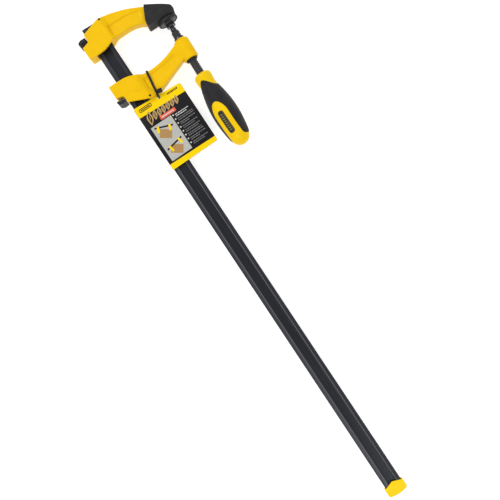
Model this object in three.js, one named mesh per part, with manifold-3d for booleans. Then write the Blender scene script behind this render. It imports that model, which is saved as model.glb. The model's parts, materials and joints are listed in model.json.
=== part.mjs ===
// F-clamp (bar clamp) with a 610 mm jaw opening, as an assembly of separate pieces.
// Millimetres. Origin: where the screw axis meets the fixed jaw's clamping face.
// +X runs along the bar to its tail, +Y from the bar to the jaw tips, +Z is up as it lies flat.
import * as THREE from "three";
import { mergeVertices } from "three/addons/utils/BufferGeometryUtils.js";
import Module from "manifold-3d";

// ---- driving dimensions -------------------------------------------------------------------
const GAP = 0.3; // clearance between pieces that touch or nest

const BAR = { x0: -48.5, x1: 711, y: -92.8, width: 25, thick: 6, groove: 12.8, web: 3, chamfer: 0.6 };
const CAP = { x0: 702.3, peak: 696.9, x1: 717, halfWidth: 14.6, halfThick: 4.5, corner: 4 };

const HOUSING_HALF = 12.9; // half thickness of each head round the bar
const ARM_HALF = 8.2; // half thickness of each arm
const CORE_HALF = 8.4; // half depth of the hollow at each mouth of the bar slot
const SLOPE = { y0: -77, y1: -69.5 }; // where the housing thins down to the arm
const FLOOR_Y = -117.3; // lowest edge of both heads
const PANEL_DEPTH = 1; // sunk panel along each arm

const PIN = { r: 1.3, fixed: [-44.6, -77.2], sliding: [79.1, -76.5] };
const BITE = { half: 3.2, top: -73.6, halfDepth: 4 };
const BUTTON = { top: -107, bottom: -119.4, half: 12.6, springY: -112.4, springR: 2 };
const HEAD_MIRROR = 33.7; // the two buttons mirror each other: x of one = HEAD_MIRROR - x of the other

const JAW_HALF = 14; // half thickness of the rubber boot on the fixed jaw

const SCREW = { tilt: -1.4, ballX: 9.4, ballR: 4.2, neckR: 3.1, threadR: 5.8, pitch: 3 };
const INSERT = { x0: 32, x1: 68.6, collarR: 7.1, barrelR: 8.6, barrelX0: 38, barrelX1: 61 };
const BOSS = { x0: 35, x1: 66, r: 11.1, chamfer: 3 };
const PAD = {
  face: 2.4, // front of the plastic shoe
  seat: 3.4, // front of the steel disc behind it
  back: 6.8,
  r: 14.4,
  discR: 12.4,
  collarR: 6.3,
  collarEnd: 14.4,
  lobes: 16,
};

const HANDLE = {
  x0: 90.5,
  x1: 202.6,
  roll: 27,
  skin: 2.5, // thickness of the rubber over the core
  gripX: 100.6, // where the ferrule ends and the grip begins
  windowX: 135.6,
  windowHalf: 11.2,
  tailX: 193, // where the grip ends
};
const BADGE = { x0: 149.8, x1: 183.4, y: 1, half: 4.2, depth: 1.2 };

const TAG = { z: 5, thick: 0.8, hole: [84, 88.4, -69.8, -65.8] };
const TIE = { x: 66.3, y: -65, half: 19.3, z: 9.8, thick: 1.2, width: 2.6, tilt: -8.2 };

// ---- materials ----------------------------------------------------------------------------
const finish = (color, roughness, metalness = 0) => ({ color, roughness, metalness });
const YELLOW_METAL = finish(0xf2b705, 0.4);
const BLACK_STEEL = finish(0x2e3138, 0.45, 0.5);
const BLACK_RUBBER = finish(0x26262a, 0.8);
const BLACK_PLASTIC = finish(0x2b2b30, 0.5);
const YELLOW_PLASTIC = finish(0xf7c800, 0.4);
const BRIGHT_STEEL = finish(0x9a9a9e, 0.35, 0.9);
const CARD = finish(0x1c1c1e, 0.45);

// ---- solids -------------------------------------------------------------------------------
const wasm = await Module();
wasm.setup();

function solid(geometry) {
  geometry.deleteAttribute("normal");
  geometry.deleteAttribute("uv");
  const merged = mergeVertices(geometry, 1e-4);
  return new wasm.Manifold(
    new wasm.Mesh({
      numProp: 3,
      vertProperties: merged.attributes.position.array,
      triVerts: new Uint32Array(merged.index.array),
    }),
  );
}

function geometryOf(made) {
  const mesh = made.getMesh();
  const geometry = new THREE.BufferGeometry();
  geometry.setAttribute("position", new THREE.BufferAttribute(mesh.vertProperties, 3));
  geometry.setIndex(new THREE.BufferAttribute(mesh.triVerts, 1));
  geometry.computeVertexNormals();
  return geometry;
}

const MOST_ROUND = 0.48; // largest rounding as a share of the shorter edge beside the corner

// Outline points [x, y] in order; a third number rounds that corner to the given radius.
function shapeOf(points) {
  const shape = new THREE.Shape();
  const at = (i) => new THREE.Vector2(...points[(i + points.length) % points.length]);
  points.forEach((point, i) => {
    const corner = at(i);
    const back = at(i - 1).sub(corner);
    const forward = at(i + 1).sub(corner);
    const round = Math.min(point[2] || 0, MOST_ROUND * back.length(), MOST_ROUND * forward.length());
    const before = back.setLength(round).add(corner);
    const after = forward.setLength(round).add(corner);
    if (i === 0) shape.moveTo(before.x, before.y);
    else shape.lineTo(before.x, before.y);
    if (round) shape.quadraticCurveTo(corner.x, corner.y, after.x, after.y);
  });
  return shape;
}

function slab(points, z0, z1, curveSegments = 4) {
  const geometry = new THREE.ExtrudeGeometry(shapeOf(points), {
    depth: z1 - z0,
    bevelEnabled: false,
    curveSegments,
  });
  return solid(geometry.translate(0, 0, z0));
}

function box(x0, x1, y0, y1, z0, z1) {
  const geometry = new THREE.BoxGeometry(x1 - x0, y1 - y0, z1 - z0);
  return solid(geometry.translate((x0 + x1) / 2, (y0 + y1) / 2, (z0 + z1) / 2));
}

// A turned solid about the X axis from [x, radius] points, which start and end on the axis or close.
function turned(profile, segments = 24) {
  const points = profile.map(([x, r]) => new THREE.Vector2(r, x));
  return solid(new THREE.LatheGeometry(points, segments).rotateZ(-Math.PI / 2));
}

function rodX(x0, x1, r, y = 0, z = 0, segments = 20) {
  const geometry = new THREE.CylinderGeometry(r, r, x1 - x0, segments).rotateZ(-Math.PI / 2);
  return solid(geometry.translate((x0 + x1) / 2, y, z));
}

function rodZ(x, y, r, z0, z1, segments = 16) {
  const geometry = new THREE.CylinderGeometry(r, r, z1 - z0, segments).rotateX(Math.PI / 2);
  return solid(geometry.translate(x, y, (z0 + z1) / 2));
}

// Moves every edge of an anticlockwise outline outwards by the distance given.
function grown(points, distance) {
  const at = (i) => points[(i + points.length) % points.length];
  const normal = ([ax, ay], [bx, by]) => {
    const length = Math.hypot(bx - ax, by - ay);
    return [(by - ay) / length, (ax - bx) / length];
  };
  return points.map(([x, y, round], i) => {
    const [ax, ay] = normal(at(i - 1), at(i));
    const [bx, by] = normal(at(i), at(i + 1));
    const scale = distance / (1 + ax * bx + ay * by);
    return [x + (ax + bx) * scale, y + (ay + by) * scale, round];
  });
}

// ---- the assembly's groups ----------------------------------------------------------------
const clamp = new THREE.Group();
const screwLine = new THREE.Group(); // everything that is centred on the slightly canted screw
screwLine.position.set(SCREW.ballX, 0, 0);
screwLine.rotation.z = THREE.MathUtils.degToRad(SCREW.tilt);
clamp.add(screwLine);
const handleFrame = new THREE.Group(); // the handle, rolled about the screw
handleFrame.rotation.x = THREE.MathUtils.degToRad(HANDLE.roll);
screwLine.add(handleFrame);

function add(name, made, look, group = clamp) {
  const mesh = new THREE.Mesh(geometryOf(made), new THREE.MeshStandardMaterial(look));
  mesh.name = name;
  if (group !== clamp) mesh.position.x = -SCREW.ballX;
  group.add(mesh);
}

// A solid drawn along the X axis, turned onto the canted screw line.
function onScrewLine(made) {
  const tilt = SCREW.tilt;
  return made.translate([-SCREW.ballX, 0, 0]).rotate([0, 0, tilt]).translate([SCREW.ballX, 0, 0]);
}

// ---- bar and its tail cap -----------------------------------------------------------------
function barSection(clearance = 0) {
  const w = BAR.width / 2 + clearance;
  const t = BAR.thick / 2 + clearance;
  const g = BAR.groove / 2 - 2 * clearance;
  const c = BAR.chamfer;
  const web = BAR.web / 2 + clearance;
  const half = [[-w, -t + c], [-w + c, -t], [-g, -t], [-g + 1, -web]];
  half.push([g - 1, -web], [g, -t], [w - c, -t], [w, -t + c]);
  return half.concat(half.map(([y, z]) => [-y, -z]));
}

function bar() {
  const geometry = new THREE.ExtrudeGeometry(shapeOf(barSection()), {
    depth: BAR.x1 - BAR.x0,
    bevelEnabled: false,
  });
  // the section is drawn in Y and Z, and pushed along X
  geometry.applyMatrix4(new THREE.Matrix4().set(0, 0, 1, BAR.x0, 1, 0, 0, BAR.y, 0, 1, 0, 0, 0, 0, 0, 1));
  return solid(geometry);
}

function endCap() {
  const { x0, x1, peak, halfWidth: w, halfThick: t, corner } = CAP;
  const tail = x1 - 2.5; // the tail bows out to x1 at its middle
  const outline = [[x0, BAR.y - w], [tail, BAR.y - w, corner], [x1, BAR.y, 24], [tail, BAR.y + w, corner]];
  outline.push([x0, BAR.y + w], [peak, BAR.y]);
  const half = BAR.width / 2 + GAP;
  const deep = BAR.thick / 2 + GAP;
  const pocket = box(peak - 5, BAR.x1 + GAP, BAR.y - half, BAR.y + half, -deep, deep);
  return slab(outline, -t, t, 6).subtract(pocket);
}

add("bar", bar(), BLACK_STEEL);
add("end_cap", endCap(), YELLOW_PLASTIC);

// ---- the two heads ------------------------------------------------------------------------
// The slot that the bar runs through: a close guide between x0 and x1, cored wide beyond each end.
function barSlot(x0, x1) {
  const half = BAR.width / 2 + GAP;
  const deep = BAR.thick / 2 + GAP;
  const low = BAR.y - half - 0.8;
  return box(x0 - 60, x1 + 60, BAR.y - half, BAR.y + half, -deep, deep)
    .add(box(x0 - 60, x0, low, BAR.y + half, -CORE_HALF, CORE_HALF))
    .add(box(x1, x1 + 60, low, BAR.y + half, -CORE_HALF, CORE_HALF));
}

// A block that keeps the housing's thickness below the slope and the arm's thickness above it.
function thicknessBlock() {
  const side = [[-260, -HOUSING_HALF], [SLOPE.y0, -HOUSING_HALF], [SLOPE.y1, -ARM_HALF], [60, -ARM_HALF]];
  side.push([60, ARM_HALF], [SLOPE.y1, ARM_HALF], [SLOPE.y0, HOUSING_HALF], [-260, HOUSING_HALF]);
  const geometry = new THREE.ExtrudeGeometry(shapeOf(side), { depth: 400, bevelEnabled: false });
  geometry.applyMatrix4(new THREE.Matrix4().set(0, 0, 1, -200, 1, 0, 0, 0, 0, 1, 0, 0, 0, 0, 0, 1));
  return solid(geometry);
}

// Pocket for the hardened bite block, and the hole for the cross pin that keeps it there.
function biteCuts([x, y]) {
  const pocketHalf = BITE.half + GAP;
  const deep = BITE.halfDepth + GAP;
  const pocket = box(x - pocketHalf + 0.4, x + pocketHalf, BAR.y, BITE.top + GAP, -deep, deep);
  return pocket.add(rodZ(x, y, PIN.r + GAP, -HOUSING_HALF - 2, HOUSING_HALF + 2));
}

function biteBlock([x, y]) {
  const low = BAR.y + BAR.width / 2 + GAP;
  const block = box(x - BITE.half + 0.7, x + BITE.half, low, BITE.top, -BITE.halfDepth, BITE.halfDepth);
  return block.subtract(rodZ(x, y, PIN.r + GAP, -HOUSING_HALF, HOUSING_HALF));
}

// Button outline on the sliding head; the fixed head's is its mirror image.
const BUTTON_OUTLINE = [
  [61.6, BUTTON.bottom, 1],
  [66.4, BUTTON.bottom, 2.4],
  [68.4, -114],
  [68, BUTTON.top, 0.8],
  [64.4, BUTTON.top],
];
const mirrored = (points) => points.map(([x, y, round]) => [HEAD_MIRROR - x, y, round]).reverse();

// Spring seat: a round pocket in the wall of the button's notch.
const SPRING = { x0: 52, x1: 62.6, wire: 0.35, turns: 6 };

function springSeat(mirror) {
  const x0 = SPRING.x0 - GAP;
  const x1 = SPRING.x1 + 1;
  const [a, b] = mirror ? [HEAD_MIRROR - x1, HEAD_MIRROR - x0] : [x0, x1];
  return rodX(a, b, BUTTON.springR + SPRING.wire + GAP, BUTTON.springY);
}

function buttonSpring(mirror) {
  const steps = SPRING.turns * 7;
  const points = Array.from({ length: steps + 1 }, (_, i) => {
    const turn = (i / steps) * SPRING.turns * 2 * Math.PI;
    const x = SPRING.x0 + SPRING.wire + (i / steps) * (SPRING.x1 - SPRING.x0 - 2 * SPRING.wire);
    const y = BUTTON.springY + BUTTON.springR * Math.cos(turn);
    return new THREE.Vector3(mirror ? HEAD_MIRROR - x : x, y, BUTTON.springR * Math.sin(turn));
  });
  const round = new THREE.Shape().absarc(0, 0, SPRING.wire, 0, 2 * Math.PI);
  const extrudePath = new THREE.CatmullRomCurve3(points);
  return solid(new THREE.ExtrudeGeometry(round, { steps, curveSegments: 3, extrudePath }));
}

// ---- fixed head ---------------------------------------------------------------------------
const FIXED_OUTLINE = [
  [-5.5, FLOOR_Y, 2],
  [-5.5, -92, 8],
  [-13, -74.5, 6],
  [-13.8, -60, 8],
  [-13.2, -46, 8],
  [-11, -35, 6],
  [-4, -24, 0],
  [-4, 11, 1],
  [-7.4, 11, 1],
  [-13.4, 1, 4],
  [-23.4, -18, 0],
  [-27.3, -17, 0],
  [-39, -40.4, 12],
  [-46.4, -66, 10],
  [-47, -78, 6],
  [-38.2, -106.4, 1],
  [-26.8, -106.4, 1],
  [-23.7, FLOOR_Y, 1],
];

const FIXED_PANEL = [
  [-18, -71, 3],
  [-17.6, -46, 6],
  [-13, -31, 2],
  [-25.5, -25.5, 2],
  [-31, -42, 8],
  [-31.5, -71, 3],
];

// The part of the jaw tip that the rubber boot covers.
const JAW_OUTLINE = [
  [0, -26, 2.5],
  [0, 15.4, 2.5],
  [-8, 14.4, 3],
  [-16.8, 2.2, 6],
  [-27.8, -16.3, 1],
  [-10, -25.6, 3],
  [-3, -27.3, 1.5],
];

function fixedHead() {
  let head = slab(FIXED_OUTLINE, -HOUSING_HALF, HOUSING_HALF, 5).intersect(thicknessBlock());
  for (const side of [-1, 1]) {
    const [z0, z1] = side > 0 ? [ARM_HALF - PANEL_DEPTH, 20] : [-20, -ARM_HALF + PANEL_DEPTH];
    head = head.subtract(slab(FIXED_PANEL, z0, z1));
  }
  return head.subtract(barSlot(-36, -16)).subtract(biteCuts(PIN.fixed)).subtract(springSeat(true));
}

function fixedJawCap() {
  const pocket = FIXED_OUTLINE.slice(5, 13).map(([x, y]) => [x, y]);
  return slab(JAW_OUTLINE, -JAW_HALF, JAW_HALF, 5).subtract(
    slab(grown(pocket, GAP), -ARM_HALF - GAP, ARM_HALF + GAP),
  );
}

add("fixed_head", fixedHead(), YELLOW_METAL);
add("fixed_jaw_cap", fixedJawCap(), BLACK_RUBBER);
add("fixed_bite_block", biteBlock(PIN.fixed), BRIGHT_STEEL);
add("fixed_cross_pin", rodZ(...PIN.fixed, PIN.r, -HOUSING_HALF + 0.2, HOUSING_HALF - 0.2), BLACK_STEEL);
add("fixed_release_button", slab(mirrored(BUTTON_OUTLINE), -BUTTON.half, BUTTON.half), BLACK_PLASTIC);
add("fixed_button_spring", buttonSpring(true), BRIGHT_STEEL);

// ---- sliding head -------------------------------------------------------------------------
const SLIDING_OUTLINE = [
  [57.4, FLOOR_Y, 1],
  [60.5, -106.4, 1],
  [69.6, -106.4, 1],
  [80.6, -82, 6],
  [83.2, -73, 6],
  [80.6, -62, 6],
  [76, -50, 20],
  [67, -25, 10],
  [60, -6, 0],
  [38, -4, 0],
  [39.6, -12, 6],
  [46, -29, 14],
  [49.6, -50, 12],
  [49.3, -66, 6],
  [39.9, -90, 8],
  [39.2, FLOOR_Y, 2],
];

const SLIDING_PANEL = [
  [70, -70, 3],
  [66.5, -46, 10],
  [58, -18, 3],
  [48.5, -18, 3],
  [53.8, -46, 10],
  [54.5, -70, 3],
];

function slidingHead() {
  let head = slab(SLIDING_OUTLINE, -HOUSING_HALF, HOUSING_HALF, 5).intersect(thicknessBlock());
  for (const side of [-1, 1]) {
    const [z0, z1] = side > 0 ? [ARM_HALF - PANEL_DEPTH, 20] : [-20, -ARM_HALF + PANEL_DEPTH];
    head = head.subtract(slab(SLIDING_PANEL, z0, z1));
  }
  const { x0, x1, r, chamfer } = BOSS;
  const boss = turned([[x0, 0], [x0, r - chamfer], [x0 + chamfer, r], [x1 - 1, r], [x1, r - 1], [x1, 0]]);
  head = head.add(onScrewLine(boss)).subtract(onScrewLine(insertOutside(GAP)));
  return head.subtract(barSlot(50, 66)).subtract(biteCuts(PIN.sliding)).subtract(springSeat(false));
}

// ---- threaded insert in the sliding head's boss --------------------------------------------
function insertOutside(clearance) {
  const { x0, x1, collarR, barrelR, barrelX0, barrelX1 } = INSERT;
  const c = clearance;
  return turned([
    [x0 - 4 * c, 0],
    [x0 - 4 * c, collarR + c],
    [barrelX0 - c, collarR + c],
    [barrelX0 - c, barrelR + c],
    [barrelX1 + c, barrelR + c],
    [barrelX1 + c, collarR + c],
    [x1 + 4 * c, collarR + c],
    [x1 + 4 * c, 0],
  ]);
}

// A groove near the insert's outer end takes a snap ring that sits against the boss.
const RING = { x0: 66.8, x1: 68, inner: 6.7, outer: 8.4 };

function threadInsert() {
  const groove = rodX(RING.x0 - GAP, RING.x1 + GAP, RING.outer, 0, 0, 24)
    .subtract(rodX(RING.x0 - 2, RING.x1 + 2, RING.inner - GAP, 0, 0, 24));
  const bore = rodX(INSERT.x0 - 1, INSERT.x1 + 3, SCREW.threadR + GAP, 0, 0, 24);
  return insertOutside(0).subtract(bore).subtract(groove);
}

function snapRing() {
  const { x0, x1, inner, outer } = RING;
  const ring = turned([[x0, inner], [x0, outer], [x1, outer], [x1, inner], [x0, inner]]);
  return ring.subtract(box(x0 - 1, x1 + 1, -1.2, 1.2, 0, outer + 1));
}

add("sliding_head", slidingHead(), YELLOW_METAL);
add("sliding_bite_block", biteBlock(PIN.sliding), BRIGHT_STEEL);
add("sliding_cross_pin", rodZ(...PIN.sliding, PIN.r, -HOUSING_HALF + 0.2, HOUSING_HALF - 0.2), BLACK_STEEL);
add("sliding_release_button", slab(BUTTON_OUTLINE, -BUTTON.half, BUTTON.half), BLACK_PLASTIC);
add("sliding_button_spring", buttonSpring(false), BRIGHT_STEEL);
add("thread_insert", threadInsert(), BLACK_STEEL, screwLine);
add("insert_snap_ring", snapRing(), BLACK_STEEL, screwLine);

// ---- screw spindle ------------------------------------------------------------------------
const TANG = { x0: 96, x1: 176, r: 4.6, pinX: 108, pinR: 1.5 };

// Ring-shaped thread ridges stand in for the helix, at the screw's pitch.
function spindle() {
  const { ballX, ballR, neckR, threadR, pitch } = SCREW;
  const profile = [];
  const meet = Math.asin(neckR / ballR);
  const ballSteps = 7;
  for (let i = 0; i <= ballSteps; i++) {
    const angle = (i / ballSteps) * (Math.PI - meet);
    profile.push([ballX - ballR * Math.cos(angle), i === 0 ? 0 : ballR * Math.sin(angle)]);
  }
  profile.push([16.6, neckR], [17.2, 4.1], [21.4, 4.1], [24, threadR]);
  const root = threadR - 0.8;
  for (let x = 24 + pitch; x < 86; x += pitch) profile.push([x - pitch / 2, root], [x, threadR]);
  const { x0, x1, r } = TANG;
  profile.push([x0 - 1, threadR], [x0, r], [x1 - 1, r], [x1, r - 1], [x1, 0]);
  return turned(profile, 18).subtract(rodZ(TANG.pinX, 0, TANG.pinR + GAP, -8, 8, 12));
}

add("spindle", spindle(), BLACK_STEEL, handleFrame);

// ---- swivel pad: retaining ring, ball cup, steel pad and its plastic shoe -------------------
// Each is drawn square to the bar, because a swivelling pad lines itself up with the jaw.
const CUP = { inner: SCREW.ballR + GAP, outer: SCREW.ballR + GAP + 0.6, halfAngle: 60 };
const KEEPER = { x0: 12.6, x1: 13.8, inner: 3.6, outer: 4.6 };

function arcPoints(radius, from, to, steps) {
  return Array.from({ length: steps + 1 }, (_, i) => {
    const angle = THREE.MathUtils.degToRad(from + ((to - from) * i) / steps);
    return [SCREW.ballX - radius * Math.cos(angle), radius * Math.sin(angle)];
  });
}

function ballCup() {
  const outer = arcPoints(CUP.outer, 0, CUP.halfAngle, 5);
  const inner = arcPoints(CUP.inner, CUP.halfAngle, 0, 5);
  outer[0][1] = 0;
  inner[5][1] = 0;
  return turned(outer.concat(inner));
}

function swivelPad() {
  const { seat, discR, back, collarR, collarEnd } = PAD;
  const outside = turned([
    [seat, 0],
    [seat, discR - 0.6],
    [seat + 0.6, discR],
    [back - 0.6, discR],
    [back, discR - 1],
    [back, collarR + 0.6],
    [back + 0.6, collarR],
    [collarEnd - 1, collarR],
    [collarEnd, collarR - 0.8],
    [collarEnd, 0],
  ]);
  const bore = CUP.outer + GAP;
  const cavity = arcPoints(bore, 0, 90, 6).concat([[collarEnd + 1, bore], [collarEnd + 1, 0]]);
  cavity[0][1] = 0;
  return outside.subtract(turned(cavity));
}

// A wavy-edged shoe that clips over the steel disc.
function padShoe() {
  const { face, seat, r, lobes, back, discR } = PAD;
  const steps = lobes * 4;
  const rim = Array.from({ length: steps }, (_, i) => {
    const angle = (i / steps) * 2 * Math.PI;
    const radius = r - 0.35 + 0.35 * Math.cos(lobes * angle);
    return [radius * Math.sin(angle), radius * Math.cos(angle)];
  }).reverse();
  const geometry = new THREE.ExtrudeGeometry(shapeOf(rim), { depth: back + 0.4 - face, bevelEnabled: false });
  const outside = solid(geometry.rotateY(Math.PI / 2).translate(face, 0, 0));
  const pocket = rodX(seat - GAP, back + 2, discR + GAP, 0, 0, 24);
  return outside.subtract(pocket);
}

function keeperRing() {
  const { x0, x1, inner, outer } = KEEPER;
  return turned([[x0, inner], [x0, outer], [x1, outer], [x1, inner], [x0, inner]], 20);
}

add("pad_keeper_ring", keeperRing(), BRIGHT_STEEL);
add("pad_ball_cup", ballCup(), BRIGHT_STEEL);
add("swivel_pad", swivelPad(), BLACK_STEEL);
add("swivel_pad_shoe", padShoe(), BLACK_PLASTIC);

// ---- handle: yellow core, black grip, badge plate, cross pin ---------------------------------
// Radius along the handle, from the ferrule over the waist and the palm swell to the tail.
const SWELL = new THREE.SplineCurve(
  [[90.5, 9.4], [92.5, 11.8], [96, 12.7], [100.5, 12.5], [107.5, 11.8], [114, 13], [127.7, 16]]
    .concat([[141.4, 17.9], [155.1, 18.5], [168.8, 17.8], [182.5, 15.8]])
    .concat([[189.5, 14], [196.2, 10.6], [200.8, 6.2], [202.6, 2.2]])
    .map(([x, r]) => new THREE.Vector2(x, r)),
);

function handleProfile(inset, x0 = HANDLE.x0, x1 = HANDLE.x1) {
  const rows = 22;
  const points = SWELL.getPoints(rows).filter((p) => p.x >= x0 - 1e-6 && p.x <= x1 + 1e-6);
  const profile = points.map((p) => [p.x, Math.max(p.y - inset, 1)]);
  return [[profile[0][0], 0], ...profile, [profile[profile.length - 1][0], 0]];
}

// Outline of the yellow window on the handle's face, which widens into the all-yellow tail.
function windowOutline(clearance) {
  const half = HANDLE.windowHalf + clearance;
  const x0 = HANDLE.windowX - clearance;
  const tail = HANDLE.tailX - clearance;
  const lower = [[x0, -half, half], [tail - 3, -half], [tail, -half - 3], [tail, -30], [215, -30]];
  return lower.concat(lower.map(([x, y, round]) => [x, -y, round]).reverse());
}

// Outline of the yellow tongue that runs from the ferrule into each side of the grip.
function tongueOutline(clearance) {
  const tip = HANDLE.gripX + 13.6 + clearance;
  const lower = [[80, -13], [HANDLE.gripX, -12.7 - clearance], [tip, -7.4 - clearance, 6]];
  return lower.concat(lower.map(([x, y, round]) => [x, -y, round]).reverse());
}

// Windows go through the handle front to back, tongues from side to side.
function yellowAreas(clearance) {
  const windows = slab(windowOutline(clearance), -30, 30, 6);
  const tongues = slab(tongueOutline(clearance), -30, 30, 6).rotate([90, 0, 0]);
  return windows.add(tongues).add(box(80, HANDLE.gripX - GAP + clearance, -30, 30, -30, 30));
}

function badgeBlank(clearance) {
  const { x0, x1, y, half, depth } = BADGE;
  const h = half + clearance;
  const [a, b] = [x0 - clearance, x1 + clearance];
  const outline = [[a, y - h, h], [b, y - h, h], [b, y + h, h], [a, y + h, h]];
  const proud = turned(handleProfile(-0.3, 120, 195));
  const floor = turned(handleProfile(depth + clearance, 110, 199));
  return slab(outline, 5, 25, 6).intersect(proud.subtract(floor));
}

function handleCore() {
  const { skin, x0 } = HANDLE;
  const full = turned(handleProfile(0));
  const tang = rodX(x0 - 1, TANG.x1 + 1, SCREW.threadR + GAP, 0, 0, 20);
  return turned(handleProfile(skin + GAP))
    .add(full.intersect(yellowAreas(0)))
    .subtract(tang)
    .subtract(rodZ(TANG.pinX, 0, TANG.pinR + GAP, -20, 20, 12))
    .subtract(badgeBlank(GAP));
}

function handleGrip() {
  return turned(handleProfile(0)).subtract(turned(handleProfile(HANDLE.skin))).subtract(yellowAreas(GAP));
}

add("handle_core", handleCore(), YELLOW_PLASTIC, handleFrame);
add("handle_grip", handleGrip(), BLACK_RUBBER, handleFrame);
add("handle_badge", badgeBlank(0), BLACK_PLASTIC, handleFrame);
add("handle_cross_pin", rodZ(TANG.pinX, 0, TANG.pinR, -8.6, 8.6, 12), BRIGHT_STEEL, handleFrame);

// ---- hang tag and its cable tie --------------------------------------------------------------
const TAG_OUTLINE = [
  [80.8, -106.3, 3],
  [179.6, -106.3, 3],
  [178.6, -33.1, 3],
  [85, -33.1, 3],
];

function hangTag() {
  const card = slab(TAG_OUTLINE, TAG.z, TAG.z + TAG.thick);
  return card.subtract(box(...TAG.hole, 0, 20));
}

// A flat strap round the arm and through the tag's hole, with its ratchet block.
function cableTie() {
  const { x, y, half, z, thick, width, tilt } = TIE;
  const ring = (inset) => {
    const a = half - inset;
    const b = z - inset;
    const round = 2.6 - inset;
    return [[-a, -b, round], [a, -b, round], [a, b, round], [-a, b, round]];
  };
  const strap = slab(ring(0), -width / 2, width / 2).subtract(slab(ring(thick), -width, width));
  const block = box(11, 16.4, -0.6, 8.4, z - thick + 0.1, z + 2.4);
  return strap.rotate([90, 0, 0]).add(block).rotate([0, 0, tilt]).translate([x, y, 0]);
}

add("hang_tag", hangTag(), CARD);
add("cable_tie", cableTie(), BLACK_PLASTIC);

export default clamp;
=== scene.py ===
"""The looks of an F-clamp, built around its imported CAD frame.

Shapes are drawn in millimetres in the frame's own axes (origin where the screw axis meets the fixed
jaw's face, +X to the bar's tail, +Y to the jaw tips, +Z up) and scaled to metres by add_piece().
"""

import json
import math
import random

import bmesh
import bpy
from mathutils import Matrix, Vector


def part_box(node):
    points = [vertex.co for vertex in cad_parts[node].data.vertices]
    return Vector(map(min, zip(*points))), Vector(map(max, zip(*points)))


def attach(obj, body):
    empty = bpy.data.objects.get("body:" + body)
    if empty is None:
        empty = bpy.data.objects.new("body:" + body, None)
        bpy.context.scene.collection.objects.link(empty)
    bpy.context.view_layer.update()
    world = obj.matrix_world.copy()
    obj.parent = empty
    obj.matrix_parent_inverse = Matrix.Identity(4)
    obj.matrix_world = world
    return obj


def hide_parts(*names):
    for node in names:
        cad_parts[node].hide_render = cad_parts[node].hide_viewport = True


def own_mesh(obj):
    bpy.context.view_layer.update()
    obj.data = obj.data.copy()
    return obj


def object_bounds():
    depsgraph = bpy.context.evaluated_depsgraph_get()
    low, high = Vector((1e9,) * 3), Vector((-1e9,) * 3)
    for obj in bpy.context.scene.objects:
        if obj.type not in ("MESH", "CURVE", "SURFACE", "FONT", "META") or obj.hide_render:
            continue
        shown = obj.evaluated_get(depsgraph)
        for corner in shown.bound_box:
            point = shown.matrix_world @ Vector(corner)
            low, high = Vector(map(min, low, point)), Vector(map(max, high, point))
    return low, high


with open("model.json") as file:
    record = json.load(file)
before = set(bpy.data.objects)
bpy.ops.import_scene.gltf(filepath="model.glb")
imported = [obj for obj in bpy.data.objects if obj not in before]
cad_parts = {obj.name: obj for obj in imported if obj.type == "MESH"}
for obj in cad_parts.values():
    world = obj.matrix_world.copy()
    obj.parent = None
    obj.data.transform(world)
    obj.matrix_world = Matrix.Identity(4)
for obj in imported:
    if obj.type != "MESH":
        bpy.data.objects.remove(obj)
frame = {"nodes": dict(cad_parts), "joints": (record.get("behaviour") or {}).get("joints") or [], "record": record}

MM = 0.001
cad_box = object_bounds()


def link(thing):
    bpy.context.scene.collection.objects.link(thing)


# ---- camera, floor and light ----
CAMERA_HEIGHT = 948 * MM
CAMERA_OFFSET = (-6.3 * MM, -27.3 * MM)  # from the middle of the object's box
CAMERA_TURN = math.radians(56.44)  # the bar runs down across the picture
LENS, SENSOR = 49.92, 36  # in millimetres
FLOOR_GAP = 0.5 * MM
FLOOR_GLOW = 0.72  # the floor is a light table, so shadows on it stay faint
FLOOR_REACH = 12000  # half the side of the floor, in millimetres
FLOOR_THICK = 5  # in millimetres
ROOM_LIGHT = 0.82


def make_camera():
    middle = (cad_box[0] + cad_box[1]) / 2
    data = bpy.data.cameras.new("camera")
    data.sensor_width = SENSOR
    data.lens = LENS
    data.clip_end = 20
    camera = bpy.data.objects.new("camera", data)
    camera.location = (middle.x + CAMERA_OFFSET[0], middle.y + CAMERA_OFFSET[1], CAMERA_HEIGHT)
    camera.rotation_euler = (0, 0, CAMERA_TURN)
    link(camera)
    bpy.context.scene.camera = camera


def make_light(name, place, size, power, target=(0.3, -0.05, 0)):
    data = bpy.data.lights.new(name, "AREA")
    data.shape = "RECTANGLE"
    data.size, data.size_y = size
    data.energy = power
    light = bpy.data.objects.new(name, data)
    light.location = place
    light.rotation_euler = (Vector(target) - Vector(place)).to_track_quat("-Z", "Y").to_euler()
    link(light)


def make_studio():
    """Even white light from all round, a soft key beyond the heads and a long strip over the bar."""
    world = bpy.data.worlds.new("studio")
    world.use_nodes = True
    background = world.node_tree.nodes["Background"]
    background.inputs["Color"].default_value = (1, 1, 1, 1)
    background.inputs["Strength"].default_value = ROOM_LIGHT
    bpy.context.scene.world = world
    bpy.context.scene.view_settings.view_transform = "Standard"
    make_light("key", (-1.3, -0.6, 1.5), (0.7, 0.7), 14.5)
    make_light("strip", (1.2, -0.42, 1.3), (2.0, 0.14), 6, target=(0.6, -0.1, 0))


make_camera()
make_studio()


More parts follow.
